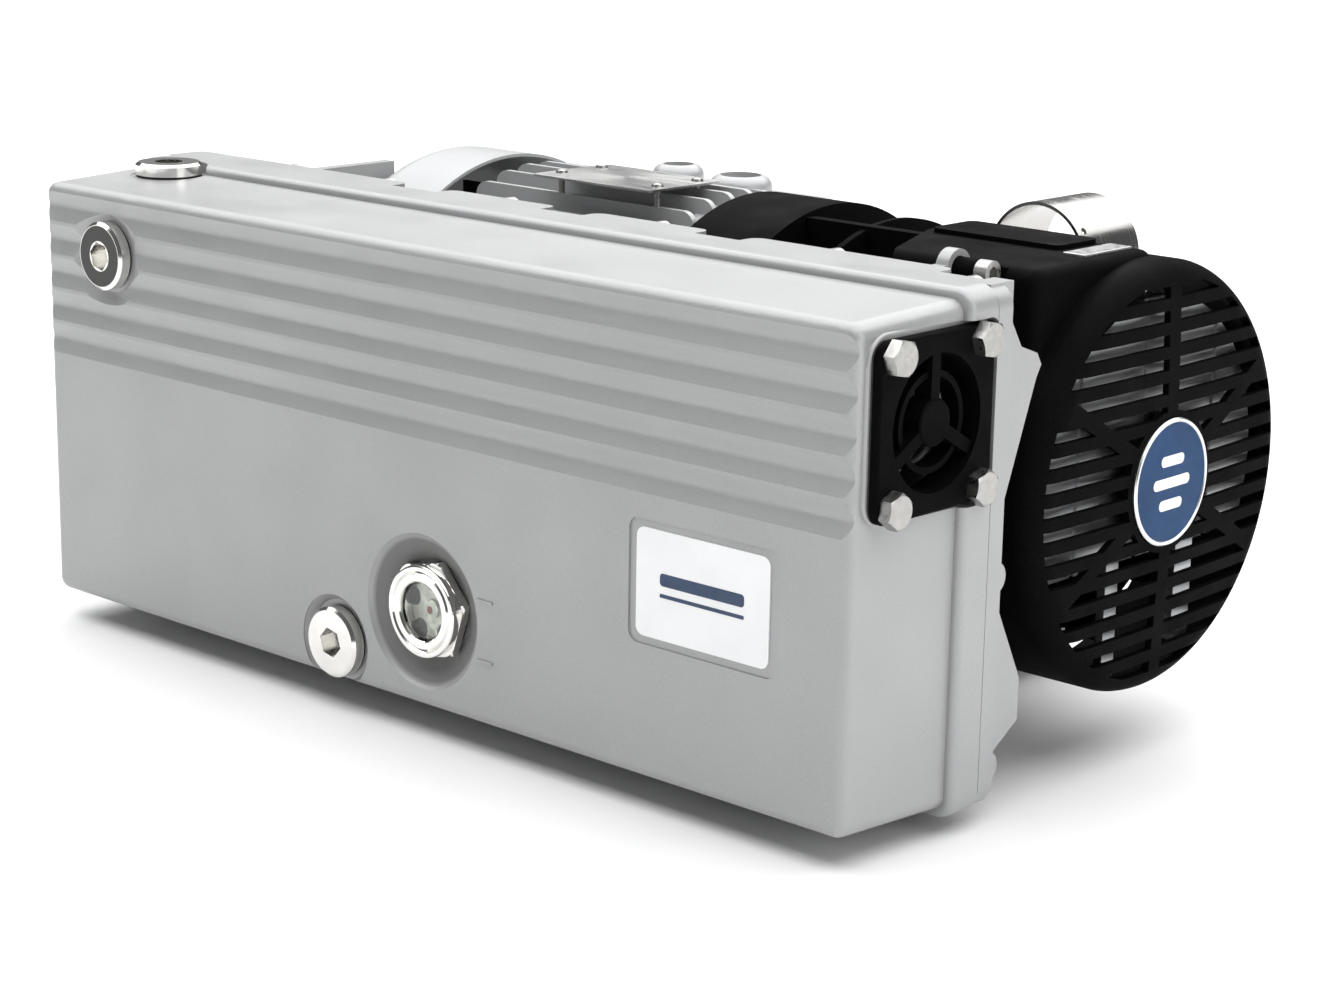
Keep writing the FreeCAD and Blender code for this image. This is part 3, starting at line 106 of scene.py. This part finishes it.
FLOOR_HALF = 30
CAMERA_AT = (0.8937, -0.8600, 0.4103)
AZIMUTH, ELEVATION, ROLL = (math.radians(angle) for angle in (42.35, 14.12, 0.96))
LENS_MM, SENSOR_MM = 79.06, 36

X = Vector((1, 0, 0))
Y = Vector((0, 1, 0))
Z = Vector((0, 0, 1))


# ------------------------------------------------------------------ node helpers
class Look:
    """A Principled material with helpers for its procedural detail, in object space metres."""

    def __init__(self, name, color, rough, metal=0.0, **sockets):
        self.mat = bpy.data.materials.new(name)
        self.mat.use_nodes = True
        self.tree = self.mat.node_tree
        self.bsdf = self.tree.nodes["Principled BSDF"]
        self.bsdf.inputs["Base Color"].default_value = (*color, 1)
        self.bsdf.inputs["Roughness"].default_value = rough
        self.bsdf.inputs["Metallic"].default_value = metal
        for key, value in sockets.items():
            self.bsdf.inputs[key.replace("_", " ")].default_value = value
        self.color = color
        self.coords = self.tree.nodes.new("ShaderNodeTexCoord").outputs["Object"]
        self.normal = None

    def link(self, a, b):
        self.tree.links.new(a, b)

    def scaled(self, scale):
        """The coordinates stretched by a factor for each axis."""
        node = self.tree.nodes.new("ShaderNodeMapping")
        node.inputs["Scale"].default_value = scale
        self.link(self.coords, node.inputs["Vector"])
        return node.outputs["Vector"]

    def noise(self, scale, detail, vector=None):
        node = self.tree.nodes.new("ShaderNodeTexNoise")
        node.inputs["Scale"].default_value = scale
        node.inputs["Detail"].default_value = detail
        self.link(vector or self.coords, node.inputs["Vector"])
        return node.outputs["Fac"]

    def cells(self, scale):
        node = self.tree.nodes.new("ShaderNodeTexVoronoi")
        node.inputs["Scale"].default_value = scale
        self.link(self.coords, node.inputs["Vector"])
        return node.outputs["Distance"]

    def bands(self, scale, direction):
        node = self.tree.nodes.new("ShaderNodeTexWave")
        node.bands_direction = direction
        node.inputs["Scale"].default_value = scale
        node.inputs["Distortion"].default_value = 0
        self.link(self.coords, node.inputs["Vector"])
        return node.outputs["Fac"]

    def along(self, axis):
        """The coordinate along one axis."""
        node = self.tree.nodes.new("ShaderNodeSeparateXYZ")
        self.link(self.coords, node.inputs[0])
        return node.outputs[axis]

    def radius(self, center, across):
        """Distance from the line through center; across is 0 along the line and 1 across it."""
        vector = self.coords
        for operation, by in (("SUBTRACT", center), ("MULTIPLY", across)):
            node = self.tree.nodes.new("ShaderNodeVectorMath")
            node.operation = operation
            self.link(vector, node.inputs[0])
            node.inputs[1].default_value = by
            vector = node.outputs[0]
        length = self.tree.nodes.new("ShaderNodeVectorMath")
        length.operation = "LENGTH"
        self.link(vector, length.inputs[0])
        return length.outputs["Value"]

    def ranged(self, value, low, high, from_low=0.3, from_high=0.7):
        """Value runs from low to high while it rises from from_low to from_high."""
        node = self.tree.nodes.new("ShaderNodeMapRange")
        node.inputs["From Min"].default_value = from_low
        node.inputs["From Max"].default_value = from_high
        node.inputs["To Min"].default_value = low
        node.inputs["To Max"].default_value = high
        self.link(value, node.inputs["Value"])
        return node.outputs["Result"]

    def times(self, a, b):
        node = self.tree.nodes.new("ShaderNodeMath")
        node.operation = "MULTIPLY"
        self.link(a, node.inputs[0])
        self.link(b, node.inputs[1])
        return node.outputs[0]

    def between(self, value, low, high, soft=0.00012):
        """1 where the value lies between low and high metres, else 0."""
        rise = self.ranged(value, 0, 1, low - soft, low + soft)
        fall = self.ranged(value, 1, 0, high - soft, high + soft)
        return self.times(rise, fall)

    def base(self):
        """The socket that feeds the base colour so far, if any."""
        links = self.bsdf.inputs["Base Color"].links
        return links[0].from_socket if links else None

    def mix_colors(self, blend_type="MIX"):
        """A colour mix node with its factor, two inputs and output."""
        node = self.tree.nodes.new("ShaderNodeMix")
        node.data_type = "RGBA"
        node.blend_type = blend_type
        return node.inputs["Factor"], node.inputs[6], node.inputs[7], node.outputs[2]

    def tint(self, value, dark, light, from_low=0.3, from_high=0.7):
        """Colour runs between two factors of the base colour as value rises."""
        factor, low_end, high_end, tinted = self.mix_colors()
        self.link(self.ranged(value, 0, 1, from_low, from_high), factor)
        base = self.base()
        for end, scale in ((low_end, dark), (high_end, light)):
            full, color, multiplier, scaled = self.mix_colors("MULTIPLY")
            full.default_value = 1
            if base is None:
                color.default_value = (*self.color, 1)
            else:
                self.link(base, color)
            multiplier.default_value = (scale, scale, scale, 1)
            self.link(scaled, end)
        self.link(tinted, self.bsdf.inputs["Base Color"])

    def roughness(self, value, low, high):
        self.link(self.ranged(value, low, high), self.bsdf.inputs["Roughness"])

    def patch(self, mask, color, rough, metal):
        """Another finish where the mask is 1."""
        factor, outside, inside, blended = self.mix_colors()
        self.link(mask, factor)
        self.link(self.base(), outside)
        inside.default_value = (*color, 1)
        self.link(blended, self.bsdf.inputs["Base Color"])
        for socket, value in (("Roughness", rough), ("Metallic", metal)):
            mix = self.tree.nodes.new("ShaderNodeMix")
            self.link(mask, mix.inputs["Factor"])
            links = self.bsdf.inputs[socket].links
            if links:
                self.link(links[0].from_socket, mix.inputs["A"])
            else:
                mix.inputs["A"].default_value = self.bsdf.inputs[socket].default_value
            mix.inputs["B"].default_value = value
            self.link(mix.outputs["Result"], self.bsdf.inputs[socket])

    def bump(self, value, depth, strength):
        """Adds a bump of depth metres on top of those already there."""
        node = self.tree.nodes.new("ShaderNodeBump")
        node.inputs["Distance"].default_value = depth
        node.inputs["Strength"].default_value = strength
        self.link(value, node.inputs["Height"])
        if self.normal is not None:
            self.link(self.normal, node.inputs["Normal"])
        self.normal = node.outputs["Normal"]
        self.link(self.normal, self.bsdf.inputs["Normal"])


# ------------------------------------------------------------------ materials, one per slot
def paint(look, grain, rough):
    """Cloudy tint, fine grain and slightly uneven skin of a painted casting."""
    look.tint(look.noise(9, 4), 0.965, 1.02)
    look.tint(look.noise(grain, 1), 0.93, 1.06)
    look.roughness(look.noise(26, 4), rough - 0.05, rough + 0.07)
    look.bump(look.noise(grain, 2), 0.00006, 0.5)
    look.bump(look.noise(75, 3), 0.00025, 0.25)


def painted_casting(name, color, grain, metal, rough):
    look = Look(name, color, rough, metal)
    paint(look, grain, rough)
    return look.mat


def raw_casting(name, color):
    look = Look(name, color, 0.55, 0.8)
    look.tint(look.noise(60, 5), 0.8, 1.1)
    look.tint(look.cells(900), 0.85, 1.08, 0.0, 0.6)
    look.roughness(look.noise(120, 4), 0.42, 0.66)
    look.bump(look.noise(700, 4), 0.0002, 0.5)
    return look.mat


def moulded_plastic(name, color, rough=0.5, specular=0.2):
    look = Look(name, color, rough, Specular_IOR_Level=specular)
    look.tint(look.noise(1400, 2), 0.7, 1.5)
    look.tint(look.noise(14, 3), 0.85, 1.15)
    look.roughness(look.noise(45, 3), rough - 0.06, rough + 0.1)
    look.bump(look.cells(1500), 0.00008, 0.55)
    look.bump(look.noise(30, 2), 0.0003, 0.2)
    return look.mat


def turned_metal(name, color, rough):
    """Plated or turned metal: a very fine grain and small smears."""
    look = Look(name, color, rough, 1.0)
    look.tint(look.noise(150, 3), 0.93, 1.03)
    look.roughness(look.noise(320, 4), rough * 0.7, rough * 1.5)
    look.bump(look.noise(500, 3), 0.00002, 0.25)
    return look.mat


def brushed_metal(name, color, rough, stretch):
    """Stretch is small along the brushing."""
    look = Look(name, color, rough, 1.0, Anisotropic=0.4)
    lines = look.noise(1, 3, look.scaled(stretch))
    look.tint(lines, 0.86, 1.06)
    look.tint(look.noise(35, 4), 0.93, 1.03)
    look.roughness(lines, rough * 0.75, rough * 1.35)
    look.bump(lines, 0.00003, 0.3)
    return look.mat


def rubber(name, color):
    look = Look(name, color, 0.72)
    look.tint(look.noise(500, 4), 0.7, 1.3)
    look.roughness(look.noise(90, 3), 0.6, 0.85)
    look.bump(look.noise(1600, 3), 0.0001, 0.5)
    return look.mat


def gloss(name, color, rough, coat):
    look = Look(name, color, rough, Coat_Weight=coat, Coat_Roughness=0.08)
    look.tint(look.noise(40, 3), 0.96, 1.03)
    look.roughness(look.noise(300, 4), rough * 0.8, rough * 1.4)
    look.bump(look.noise(900, 2), 0.00002, 0.3)
    return look.mat


def clear_glass(name):
    look = Look(name, (0.95, 0.98, 0.96), 0.02, Transmission_Weight=1.0, IOR=1.48)
    look.roughness(look.noise(180, 3), 0.0, 0.05)
    look.bump(look.noise(60, 2), 0.00002, 0.2)
    return look.mat


def woven(name, color):
    look = Look(name, color, 0.9)
    warp = look.bands(500, "X")
    weft = look.bands(500, "Z")
    look.tint(warp, 0.75, 1.05)
    look.tint(weft, 0.8, 1.05)
    look.bump(warp, 0.0002, 0.6)
    look.bump(weft, 0.0002, 0.6)
    return look.mat


def plug_with_painted_reflection(node, axis, end):
    """Bright plug whose end face carries a painted reflection: a dark matt ring round the socket stands in
    for dark surroundings mirrored in the face; end picks the face's box corner.
    """
    low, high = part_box(node)
    radius = (high - low)[(axis + 1) % 3] / 2
    face = (low, high)[end][axis]
    look = Look(node, BRIGHT_PLATING, 0.12, 1.0)
    look.tint(look.noise(150, 3), 0.93, 1.03)
    look.roughness(look.noise(320, 4), 0.08, 0.18)
    across = [0.0 if i == axis else 1.0 for i in range(3)]
    ring = look.between(look.radius((low + high) / 2, across), SOCKET_R, radius - PLUG_RIM)
    skin = look.between(look.along(axis), face - DARK_REFLECTION_DEPTH, face + DARK_REFLECTION_DEPTH)
    # painted reflection: a dark matt ring on the plug's face in place of the dark surroundings that a
    # mirror-bright face shows
    look.patch(look.times(ring, skin), (0.055, 0.055, 0.053), 0.6, 0.0)
    look.bump(look.noise(500, 3), 0.00002, 0.25)
    return look.mat


def casting_with_shaded_dish():
    """Casing paint with a matt dish of bare casting round the sight glass, darkened with painted shade of
    the recess.
    """
    low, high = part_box("sight_glass_ring")
    look = Look("casing_paint", CASING_PAINT, 0.4, 0.3)
    paint(look, 2600, 0.4)
    dish = look.between(look.radius((low + high) / 2, (1, 0, 1)), -1, DISH_R, DISH_EDGE)
    sunk = look.between(look.along(1), DISH_FRONT, DISH_BACK)
    # painted shade: the dish is darkened as if shaded in its recess, on top of its real matt bare-casting
    # finish
    look.patch(look.times(dish, sunk), (0.20, 0.20, 0.198), 0.6, 0.3)
    return look.mat


def rimmed_badge():
    """Deep blue enamel with a silver rim."""
    low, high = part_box("badge")
    look = Look("badge_blue", (0.023, 0.062, 0.150), 0.5, Specular_IOR_Level=0.12)
    look.tint(look.noise(60, 3), 0.9, 1.08)
    look.roughness(look.noise(300, 3), 0.45, 0.58)
    rim = look.between(look.radius((low + high) / 2, (0, 1, 1)), (high - low)[1] / 2 - BADGE_RIM, 0.1)
    look.patch(rim, (0.75, 0.76, 0.76), 0.25, 1.0)
    look.bump(look.noise(900, 2), 0.00002, 0.3)
    return look.mat


CASING_PAINT = (0.39, 0.392, 0.395)
BRIGHT_PLATING = (0.86, 0.85, 0.82)
MATERIALS = {
    "cast_silver": painted_casting("cast_silver", CASING_PAINT, 2600, 0.3, 0.4),
    "motor_grey": painted_casting("motor_grey", (0.45, 0.454, 0.458), 3200, 0.2, 0.38),
    "cast_iron_grey": raw_casting("cast_iron_grey", (0.20, 0.20, 0.20)),
    "housing_alloy": raw_casting("housing_alloy", (0.50, 0.51, 0.52)),
    "black_cover": moulded_plastic("black_cover", (0.0022, 0.0022, 0.0023), 0.6, 0.03),
    "black_plastic": moulded_plastic("black_plastic", (0.0028, 0.0028, 0.0029), 0.65, 0.03),
    "bright_plug": turned_metal("bright_plug", BRIGHT_PLATING, 0.12),
    "zinc_steel": turned_metal("zinc_steel", (0.42, 0.415, 0.40), 0.3),
    "plain_steel": turned_metal("plain_steel", (0.50, 0.50, 0.50), 0.32),
    "tee_steel": brushed_metal("tee_steel", (0.50, 0.49, 0.475), 0.22, (30, 2500, 30)),
    "plate_steel": brushed_metal("plate_steel", (0.62, 0.62, 0.61), 0.3, (40, 2500, 40)),
    "label_white": gloss("label_white", (0.93, 0.935, 0.94), 0.4, 0.05),
    "badge_blue": rimmed_badge(),
    "clear_glass": clear_glass("clear_glass"),
    "reflector": turned_metal("reflector", (0.78, 0.77, 0.70), 0.5),
    "seal_rubber": rubber("seal_rubber", (0.012, 0.012, 0.012)),
    "gasket_sheet": rubber("gasket_sheet", (0.03, 0.03, 0.03)),
    "spider_elastomer": rubber("spider_elastomer", (0.25, 0.03, 0.02)),
    "filter_media": woven("filter_media", (0.62, 0.60, 0.52)),
    "float_plastic": moulded_plastic("float_plastic", (0.45, 0.14, 0.04)),
    "bearing_bronze": turned_metal("bearing_bronze", (0.55, 0.36, 0.15), 0.3),
    "vane_composite": moulded_plastic("vane_composite", (0.035, 0.032, 0.03)),
    "cooler_alloy": brushed_metal("cooler_alloy", (0.62, 0.63, 0.64), 0.38, (60, 60, 2200)),
    "copper_winding": turned_metal("copper_winding", (0.58, 0.26, 0.11), 0.34),
}
INK_BLUE = gloss("ink_blue", (0.022, 0.050, 0.115), 0.45, 0.1)
SPOT_RED = gloss("spot_red", (0.62, 0.03, 0.03), 0.35, 0.3)

slot_of = {part["node"]: part["material_slot"] for part in frame["record"]["subparts"]}
for node, obj in frame["nodes"].items():
    obj.data.materials.clear()
    obj.data.materials.append(MATERIALS[slot_of[node]])
# the level and filler plugs get faces with a painted dark reflection
for node, axis, end in (("level_plug", 1, 0), ("filler_plug", 2, 1)):
    frame["nodes"][node].data.materials[0] = plug_with_painted_reflection(node, axis, end)
frame["nodes"]["separator_casing"].data.materials[0] = casting_with_shaded_dish()


# ------------------------------------------------------------------ small pieces on the CAD parts
def place(name, mesh):
    """Make a mesh a piece of the object that rides on the housing."""
    piece = bpy.data.objects.new(name, mesh)
    bpy.context.scene.collection.objects.link(piece)
    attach(piece, "housing")
    return piece


def add_piece(name, shape, material):
    """Turn a bmesh into a piece of the object."""
    mesh = bpy.data.meshes.new(name)
    shape.to_mesh(mesh)
    shape.free()
    mesh.materials.append(material)
    place(name, mesh)


def rounded_outline(width, height, r):
    """Points of a rounded rectangle about the origin, anticlockwise."""
    points = []
    for index, (sx, sy) in enumerate(((1, 1), (-1, 1), (-1, -1), (1, -1))):
        for i in range(CORNER_STEPS + 1):
            a = math.radians(90 * index + 90 * i / CORNER_STEPS)
            points.append((sx * (width / 2 - r) + r * math.cos(a), sy * (height / 2 - r) + r * math.sin(a)))
    return points


def raised(shape, outlines, heights, origin, across, out):
    """Skin over a row of outlines, each at its own height along out."""
    rings = []
    for outline, height in zip(outlines, heights):
        rings.append([shape.verts.new(origin + across * x + Z * z + out * height) for x, z in outline])
    for ring, following in zip(rings, rings[1:]):
        count = len(ring)
        for i in range(count):
            shape.faces.new((ring[i], ring[(i + 1) % count], following[(i + 1) % count], following[i]))
    return rings


def flat_bar(name, width, height, r, origin, across, out, material):
    """Thin rounded bar with a softened edge, sunk a little into the face under it."""
    shape = bmesh.new()
    outlines = [rounded_outline(width - s, height - s, r - s / 2) for s in (0, 0, BAR_SOFT)]
    rings = raised(shape, outlines, (BAR_SUNK, BAR_SHOULDER, BAR_TOP), origin, across, out)
    shape.faces.new(rings[-1])
    shape.faces.new(reversed(rings[0]))
    bmesh.ops.recalc_face_normals(shape, faces=shape.faces)
    add_piece(name, shape, material)


def label_bars():
    """Two plain dark blue bars on the front label, in place of any lettering."""
    low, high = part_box("casing_label")
    middle = (low + high) / 2
    for number, (width, height, rise) in enumerate(LABEL_BARS, 1):
        origin = Vector((middle[0], low[1], middle[2] + rise))
        flat_bar(f"label_bar_{number}", width, height, height * LABEL_CORNER, origin, X, -Y,
                 INK_BLUE)


def badge_bars():
    """Three plain bars on the badge, longest in the middle."""
    low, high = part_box("badge")
    middle = (low + high) / 2
    for index, width in enumerate(BADGE_BARS):
        origin = Vector((high[0] - BADGE_CROWN, middle[1], middle[2] + (index - 1) * BADGE_PITCH))
        flat_bar(f"badge_bar_{index + 1}", width, BADGE_BAR_H, BADGE_BAR_R, origin, Y, X,
                 MATERIALS["label_white"])


def sight_spot():
    """Small red spot in the middle of the sight glass reflector."""
    low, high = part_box("sight_glass_reflector")
    middle = (low + high) / 2
    shape = bmesh.new()
    bmesh.ops.create_uvsphere(shape, u_segments=24, v_segments=10, radius=1.0)
    for vert in shape.verts:
        x, y, z = vert.co
        vert.co = (middle[0] + SPOT_R * x, low[1] + SPOT_SUNK - SPOT_DEPTH * abs(y), middle[2] + SPOT_R * z)
    bmesh.ops.remove_doubles(shape, verts=shape.verts, dist=0.00001)
    add_piece("sight_spot", shape, SPOT_RED)


def hexagon_outline(corner, turn):
    """Points round a hexagon, several on each side."""
    corners = []
    for i in range(6):
        a = math.radians(60 * i + turn)
        corners.append(Vector((corner * math.cos(a), corner * math.sin(a))))
    points = []
    for a, b in zip(corners, corners[1:] + corners[:1]):
        points += [a.lerp(b, t / FLAT_STEPS) for t in range(FLAT_STEPS)]
    return points


def sight_collar():
    """Round rim flush with the sight glass ring, with a hexagon nut behind it in the dish."""
    low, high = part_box("sight_glass_ring")
    middle = (low + high) / 2
    nut = hexagon_outline(NUT_CORNER, NUT_TURN)
    chamfer = [point.normalized() * min(NUT_TURNED, point.length) for point in nut]
    profile = [(nut, NUT_BACK), (nut, NUT_FRONT), (chamfer, NUT_FACE)]
    for r, depth in RIM:
        profile.append(([point.normalized() * r for point in nut], depth))
    bore = profile[-1][0]
    profile += [(bore, NUT_BACK), profile[0]]
    shape = bmesh.new()
    origin = Vector((middle[0], low[1], middle[2]))
    raised(shape, [ring for ring, _ in profile], [depth for _, depth in profile], origin, X, Y)
    bmesh.ops.remove_doubles(shape, verts=shape.verts, dist=0.000001)
    bmesh.ops.recalc_face_normals(shape, faces=shape.faces)
    add_piece("sight_collar", shape, MATERIALS["bright_plug"])


def valve_spring():
    """Coil of the inlet valve, a copy of its CAD part riding on the housing in its place."""
    node = "inlet_valve_spring"
    piece = place("inlet_valve_coil", frame["nodes"][node].data.copy())
    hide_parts(node)
    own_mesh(piece)


label_bars()
badge_bars()
sight_spot()
sight_spot()    # an equal second spot lies over the first
sight_collar()
valve_spring()


# ------------------------------------------------------------------ floor, lights, camera
def stage():
    floor_mesh = bpy.data.meshes.new("floor")
    shape = bmesh.new()
    bmesh.ops.create_grid(shape, x_segments=2, y_segments=2, size=FLOOR_HALF)
    shape.to_mesh(floor_mesh)
    shape.free()
    floor = bpy.data.objects.new("floor", floor_mesh)
    bpy.context.scene.collection.objects.link(floor)
    look = Look("floor_pale", (0.86, 0.86, 0.86), 0.7)
    look.tint(look.noise(3, 2), 0.99, 1.01)
    look.roughness(look.noise(20, 2), 0.65, 0.8)
    floor.data.materials.append(look.mat)


def area_light(name, at, target, size, energy):
    light = bpy.data.lights.new(name, "AREA")
    light.shape = "RECTANGLE"
    light.size, light.size_y = size
    light.energy = energy
    obj = bpy.data.objects.new(name, light)
    bpy.context.scene.collection.objects.link(obj)
    obj.location = at
    obj.rotation_euler = (Vector(target) - Vector(at)).to_track_quat("-Z", "Y").to_euler()


def camera():
    level = Vector((-math.sin(AZIMUTH), math.cos(AZIMUTH), 0))
    forward = level * math.cos(ELEVATION) - Z * math.sin(ELEVATION)
    right = Vector((math.cos(AZIMUTH), math.sin(AZIMUTH), 0))
    up = right.cross(forward)
    x = right * math.cos(ROLL) + up * math.sin(ROLL)
    y = up * math.cos(ROLL) - right * math.sin(ROLL)
    data = bpy.data.cameras.new("camera")
    data.sensor_width = SENSOR_MM
    data.lens = LENS_MM
    data.clip_end = 100
    obj = bpy.data.objects.new("camera", data)
    turn = Matrix((x, y, -forward)).transposed().to_4x4()
    obj.matrix_world = Matrix.Translation(CAMERA_AT) @ turn
    bpy.context.scene.collection.objects.link(obj)
    bpy.context.scene.camera = obj


def world():
    data = bpy.data.worlds.new("studio")
    bpy.context.scene.world = data
    data.use_nodes = True
    background = data.node_tree.nodes["Background"]
    background.inputs["Color"].default_value = (0.95, 0.97, 1.0, 1)
    background.inputs["Strength"].default_value = 0.11


stage()
world()
area_light("over", (-0.9, 1.8, 3.0), (-0.9, 1.8, 0.0), (8.0, 8.0), 540)
area_light("right", (1.9, 0.1, 0.7), (0, 0.1, 0.12), (1.0, 1.2), 8.5)
area_light("front", (-0.9, -1.9, 0.9), (0, 0, 0.1), (1.4, 1.0), 3)
camera()
bpy.context.scene.view_settings.view_transform = "Standard"
